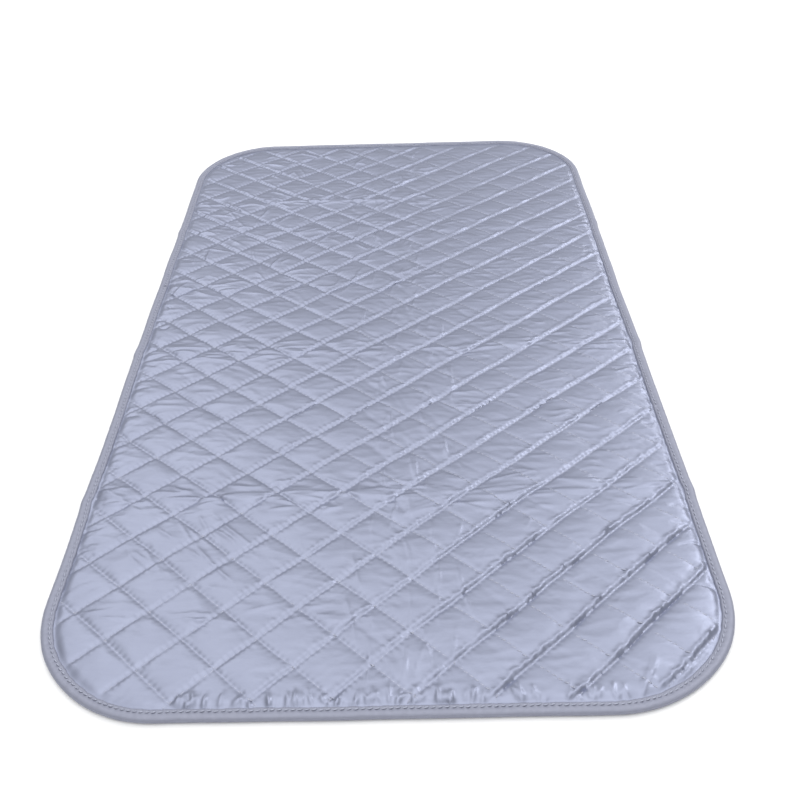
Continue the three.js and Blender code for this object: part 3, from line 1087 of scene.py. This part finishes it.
def edge_station(distance, sizes):
    """The frame of the pad's edge at a distance along it: X points in, Y along it and Z up."""
    half_x, half_y, corner = edge_length(sizes)
    runs = (
        ((-half_x, -half_y), math.pi, 2 * half_y),
        ((half_x, -half_y), 1.5 * math.pi, 2 * half_x),
        ((half_x, half_y), 0, 2 * half_y),
        ((-half_x, half_y), 0.5 * math.pi, 2 * half_x),
    )
    distance = distance % (2 * (runs[0][2] + runs[1][2] + 2 * corner))
    for centre, outward, straight in runs:
        if distance < straight:
            back = straight - distance
            turn = outward
            break
        distance -= straight
        if distance < corner:
            back = 0
            turn = outward + distance / sizes.corner_radius
            break
        distance -= corner
    out = Vector((math.cos(turn), math.sin(turn), 0))
    along = Vector((-out.y, out.x, 0))
    place = Vector((*centre, 0)) + out * sizes.corner_radius - along * back
    return Matrix.Translation(place) @ Matrix((-out, along, Vector((0, 0, 1)))).transposed().to_4x4()


def tape_wave(place):
    """How far the tape wanders in from the edge at a place on it: it bulges out a little at the creases."""
    period = TAPE_WAVE_PERIOD
    wave = TAPE_WAVE * noise.noise((place.x / period, place.y / period, TAPE_WAVE_LAYER))
    for crease in CREASE_Y.values():
        wave -= CREASE_BULGE * bell(place.y - crease, CREASE_BULGE_REACH)
    return wave


def bound_tape(side, sizes):
    """Sweeps the tape's section along one side of the edge."""
    steps = round((side.end - side.start) / TAPE_STEP)
    bm = bmesh.new()
    section = [Vector((inset * MM, 0, height * MM)) for inset, height in TAPE_SECTION_MM]
    bmesh.ops.create_grid(bm, x_segments=len(section) - 1, y_segments=steps, size=1)
    bm.verts.ensure_lookup_table()
    stations = [side.start + (side.end - side.start) * i / steps for i in range(steps + 1)]
    frames = [edge_station(distance, sizes) for distance in stations]
    for vert in bm.verts:
        point = section[round((vert.co.x + 1) / 2 * (len(section) - 1))].copy()
        number = round((vert.co.y + 1) / 2 * steps)
        station = frames[number]
        pull = bell(point.x - SEAM_INSET, SEAM_PULL_REACH)
        beat = math.cos(math.tau * stations[number] / sizes.stitch_pitch)
        if point.z > SEAM_HEIGHT / 2:
            point.z += SEAM_PULL * pull * beat
        place = station.translation / TAPE_CRINKLE_PERIOD
        crinkle = TAPE_CRINKLE * noise.noise((place.x, place.y, 2 * vert.co.x))
        inward = point.x / sizes.binding_width
        point.x += tape_wave(station.translation) + crinkle * inward
        if point.z > SEAM_HEIGHT / 2:
            point.z += crinkle / 2
        vert.co = station @ point
    bmesh.ops.recalc_face_normals(bm, faces=bm.faces)
    return bm


class PAD_OT_binding(bpy.types.Operator):
    """Folds the binding tape round the edge of the pad"""

    bl_idname = "pad.binding"
    bl_label = "Binding"

    def execute(self, context):
        sizes = context.scene.pad_sizes
        material = tape_cloth(context.scene.pad_colours)
        for side in binding_sides(sizes):
            bm = bound_tape(side, sizes)
            bmesh.ops.solidify(bm, geom=bm.faces[:], thickness=TAPE_THICKNESS)
            bmesh.ops.recalc_face_normals(bm, faces=bm.faces)
            piece = make_piece(f"binding_tape_{side.name}", bm, material)
            bend_piece(piece, side.stretch)
            side.end - side.start
            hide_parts(*(f"binding_{node}" for node in side.nodes))
        return {"FINISHED"}


def stitch_bead():
    """One stitch as a small rounded bead along Z, a unit long each way from its middle."""
    bm = bmesh.new()
    bmesh.ops.create_uvsphere(bm, u_segments=5, v_segments=4, radius=1)
    return finished_mesh("stitch_bead", bm)


def sewn_beads(name, starts, ends):
    """A mesh with a bead from each start to its end."""
    bead = stitch_bead()
    shape = vertex_places(bead)
    run = ends - starts
    half = np.linalg.norm(run, axis=1, keepdims=True) / 2
    along = run / (2 * half)
    up = np.zeros_like(along)
    up[:, 2] = 1
    side = np.cross(up, along)
    side /= np.linalg.norm(side, axis=1, keepdims=True)
    up = np.cross(along, side)
    rng = np.random.default_rng(SEED)
    width = THREAD_WIDTH * rng.uniform(1 - STITCH_VARIETY, 1, (len(starts), 1, 1))
    height = THREAD_HEIGHT * rng.uniform(1 - STITCH_VARIETY, 1, (len(starts), 1, 1))
    places = ((starts + ends) / 2 + side * rng.normal(0, STITCH_WANDER, (len(starts), 1)))[:, None, :]
    along = along + STITCH_SLANT * side
    places = places + shape[None, :, 0:1] * side[:, None, :] * width / 2
    places = places + shape[None, :, 1:2] * up[:, None, :] * height / 2
    places = places + shape[None, :, 2:3] * (along * half)[:, None, :]
    faces = []
    for number in range(len(starts)):
        first = number * len(shape)
        faces += [[first + corner for corner in polygon.vertices] for polygon in bead.polygons]
    mesh = bpy.data.meshes.new(name)
    mesh.from_pydata(places.reshape(-1, 3), [], faces)
    bpy.data.meshes.remove(bead)
    return mesh


def quilting_stitches(sizes):
    """The two ends of every quilting stitch, on the flat pad."""
    step = sizes.stitch_pitch / stitch_side(sizes)
    counts = np.arange(-CELLS / 2, CELLS / 2, step)
    lines = np.arange(-CELLS // 2, CELLS // 2 + 1)
    line, count = (grid.ravel() for grid in np.meshgrid(lines, counts))
    reach = step * STITCH_LENGTH_SHARE
    starts = []
    ends = []
    middle = count + reach / 2
    apart = np.abs(middle - np.round(middle)) > CROSSING_GAP
    apart |= loose_lines(*quilt_to_pad(line, middle, sizes)) < LOOSEST_HELD
    for slant, shown in ((1, apart), (-1, np.full_like(apart, True))):
        first = (line[shown], count[shown])[::slant]
        last = (line[shown], count[shown] + reach)[::slant]
        starts.append(np.stack(quilt_to_pad(*first, sizes), 1))
        ends.append(np.stack(quilt_to_pad(*last, sizes), 1))
    starts = np.concatenate(starts)
    ends = np.concatenate(ends)
    margin = sizes.binding_width + FIELD_MARGIN
    inside = inset_from_edge(*starts.T, sizes) > margin
    inside &= inset_from_edge(*ends.T, sizes) > margin
    return starts[inside], ends[inside]


def dropped(points, trees, side):
    """Points of the flat pad moved to the cloth: side is 1 for its upper face and -1 for its lower."""
    far = DROP_FROM * side
    landed = []
    for x, y in points:
        hits = [tree.ray_cast((x, y, far), (0, 0, -side))[0] for tree in trees]
        heights = [hit.z for hit in hits if hit is not None]
        if not heights:
            raise RuntimeError(f"no cloth under the stitch at {x:.4f}, {y:.4f}")
        landed.append((x, y, side * max(side * height for height in heights)))
    return np.array(landed)


def cloth_trees(prefix):
    """Search trees of the pieces of cloth whose names start with a prefix."""
    depsgraph = bpy.context.evaluated_depsgraph_get()
    pieces = [piece for piece in bpy.context.scene.objects if piece.name.startswith(prefix)]
    return [BVHTree.FromObject(piece, depsgraph) for piece in pieces]


class PAD_OT_quilting_stitches(bpy.types.Operator):
    """Sews the stitches of the quilting, seen on both faces of the pad"""

    bl_idname = "pad.quilting_stitches"
    bl_label = "Quilting stitches"

    def execute(self, context):
        sizes = context.scene.pad_sizes
        material = twisted_thread("quilting_thread", context.scene.pad_colours)
        starts, ends = quilting_stitches(sizes)
        upper = cloth_trees("quilted_cover_")
        lower = cloth_trees("backing_cloth_")
        for stretch in STRETCHES:
            here = (starts[:, 1] >= stretch.start) & (starts[:, 1] < stretch.end)
            over = (dropped(starts[here], upper, 1), dropped(ends[here], upper, 1))
            under = (dropped(starts[here], lower, -1), dropped(ends[here], lower, -1))
            mesh = sewn_beads(
                f"quilting_stitches_{stretch.name}",
                np.concatenate((over[0], under[0])), np.concatenate((over[1], under[1])),
            )
            piece = place_piece(mesh.name, mesh, material)
            bend_piece(piece, stretch)
            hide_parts(*(f"quilting_thread_{panel}" for panel in stretch.panels))
        return {"FINISHED"}


class PAD_OT_binding_stitches(bpy.types.Operator):
    """Sews the row of stitches that holds the binding"""

    bl_idname = "pad.binding_stitches"
    bl_label = "Binding stitches"

    def execute(self, context):
        sizes = context.scene.pad_sizes
        material = twisted_thread("binding_thread", context.scene.pad_colours)
        for side in binding_sides(sizes):
            first = math.ceil(side.start / sizes.stitch_pitch)
            last = math.floor(side.end / sizes.stitch_pitch)
            reach = sizes.stitch_pitch * STITCH_LENGTH_SHARE / 2
            starts = []
            ends = []
            for height in (SEAM_HEIGHT + SEAM_PULL, SEAM_UNDERSIDE):
                for number in range(first, last):
                    middle = (number + 0.5) * sizes.stitch_pitch
                    for row, distance in ((starts, middle - reach), (ends, middle + reach)):
                        station = edge_station(distance, sizes)
                        wave = tape_wave(station.translation)
                        row.append(station @ Vector((SEAM_INSET + wave, 0, height)))
            mesh = sewn_beads(f"binding_stitches_{side.name}", np.array(starts), np.array(ends))
            piece = place_piece(mesh.name, mesh, material)
            bend_piece(piece, side.stretch)
            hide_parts(*(f"binding_thread_{node}" for node in side.nodes))
        return {"FINISHED"}


def studio_floor(studio):
    """A wide pale floor under the pad."""
    bm = bmesh.new()
    bmesh.ops.create_grid(bm, x_segments=4, y_segments=4, size=FLOOR_REACH)
    finish = Finish("pale_floor")
    place = finish.node("ShaderNodeTexCoord", output=3)
    grain = finish.noise(place, FLOOR_GRAIN)
    shade = tuple(FLOOR_SHADE * channel for channel in studio.floor)
    finish.surface(Base_Color=finish.mix(grain, studio.floor, shade), Roughness=0.9)
    mesh = finished_mesh("floor", bm)
    mesh.materials.append(finish.material)
    floor = add_object("floor", mesh)


def softbox(name, place, target, size, power):
    """A large soft light that faces a target."""
    light = bpy.data.lights.new(name, "AREA")
    light.shape = "RECTANGLE"
    light.size, light.size_y = size
    light.energy = power
    lamp = add_object(name, light)
    lamp.location = place
    lamp.rotation_euler = (Vector(target) - Vector(place)).to_track_quat("-Z", "Y").to_euler()


def studio_sky(studio):
    """Soft light from above, dimmer towards the horizon, the sides and the ends."""
    world = bpy.data.worlds.new("studio_sky")
    world.use_nodes = True
    maker = NodeMaker(world.node_tree)
    way = maker.node("ShaderNodeTexCoord")
    sideways = maker.node("ShaderNodeSeparateXYZ", inputs={"Vector": way}, output=0)
    endways = maker.node("ShaderNodeSeparateXYZ", inputs={"Vector": way}, output=1)
    upward = maker.node("ShaderNodeSeparateXYZ", inputs={"Vector": way}, output=2)
    dimming = studio.side_dimming * (sideways * sideways) + studio.end_dimming * (endways * endways)
    share = maker.node("ShaderNodeClamp", inputs={"Value": upward}) * (1 - dimming)
    background = world.node_tree.nodes["Background"]
    background.inputs["Color"].default_value = (1, 1, 1, 1)
    maker.feed(background.inputs["Strength"], studio.horizon + (studio.zenith - studio.horizon) * share)
    return world


def photo_camera(studio):
    """The camera where the photograph was taken from."""
    level = Vector((-math.sin(studio.camera_turn), math.cos(studio.camera_turn), 0))
    right = Vector((level.y, -level.x, 0))
    overhead = Vector((0, 0, 1))
    forward = level * math.cos(studio.camera_tilt) - overhead * math.sin(studio.camera_tilt)
    up = level * math.sin(studio.camera_tilt) + overhead * math.cos(studio.camera_tilt)
    cosine = math.cos(studio.camera_roll)
    sine = math.sin(studio.camera_roll)
    leaning_right = right * cosine + up * sine
    leaning_up = up * cosine - right * sine
    data = bpy.data.cameras.new("photo_camera")
    data.sensor_width = SENSOR_WIDTH
    data.sensor_fit = "HORIZONTAL"
    data.lens = data.sensor_width * studio.focal_pixels / PHOTO_PIXELS
    data.clip_start = CLIP_START
    camera = add_object("photo_camera", data)
    axes = Matrix((leaning_right, leaning_up, -forward)).transposed().to_4x4()
    camera.matrix_world = Matrix.Translation(Vector(studio.camera_place)) @ axes
    bpy.context.scene.camera = camera


class PAD_OT_studio(bpy.types.Operator):
    """Sets up the floor, the soft light and the camera"""

    bl_idname = "pad.studio"
    bl_label = "Studio"

    def execute(self, context):
        scene = context.scene
        studio = scene.pad_studio
        studio_floor(studio)
        softbox("fill", SOFTBOX_PLACE, SOFTBOX_TARGET, SOFTBOX_SIZE, studio.softbox_power)
        softbox("key", KEY_PLACE, KEY_TARGET, KEY_SIZE, studio.key_power)
        softbox("rear_light", WINDOW_PLACE, WINDOW_TARGET, WINDOW_SIZE, studio.window_power)
        scene.world = studio_sky(studio)
        scene.view_settings.view_transform = "Standard"
        photo_camera(studio)
        return {"FINISHED"}


class VIEW3D_PT_ironing_pad(bpy.types.Panel):
    """Sizes, colours and steps of the ironing pad"""

    bl_label = "Ironing pad"
    bl_space_type = "VIEW_3D"
    bl_region_type = "UI"
    bl_category = "Ironing pad"

    def draw(self, context):
        for group in (context.scene.pad_sizes, context.scene.pad_colours, context.scene.pad_studio):
            box = self.layout.box()
            for key in group.bl_rna.properties.keys():
                if key not in ("rna_type", "name"):
                    box.prop(group, key)
        for step in STEPS:
            self.layout.operator(step.bl_idname)


STEPS = (
    PAD_OT_quilted_cover,
    PAD_OT_backing,
    PAD_OT_binding,
    PAD_OT_quilting_stitches,
    PAD_OT_binding_stitches,
    PAD_OT_studio,
)
CLASSES = (PadSizes, PadColours, StudioSettings, *STEPS, VIEW3D_PT_ironing_pad)


def register():
    """Adds the pad's settings, steps and panel to Blender."""
    for kind in CLASSES:
        bpy.utils.register_class(kind)
    bpy.types.Scene.pad_sizes = PointerProperty(type=PadSizes)
    bpy.types.Scene.pad_colours = PointerProperty(type=PadColours)
    bpy.types.Scene.pad_studio = PointerProperty(type=StudioSettings)


def unregister():
    """Takes the pad's settings, steps and panel out of Blender."""
    del bpy.types.Scene.pad_studio
    del bpy.types.Scene.pad_colours
    del bpy.types.Scene.pad_sizes
    for kind in reversed(CLASSES):
        bpy.utils.unregister_class(kind)


def main():
    register()
    bpy.ops.pad.quilted_cover()
    bpy.ops.pad.backing()
    bpy.ops.pad.binding()
    bpy.ops.pad.quilting_stitches()
    bpy.ops.pad.binding_stitches()
    bpy.ops.pad.studio()


if __name__ == "__main__":
    main()
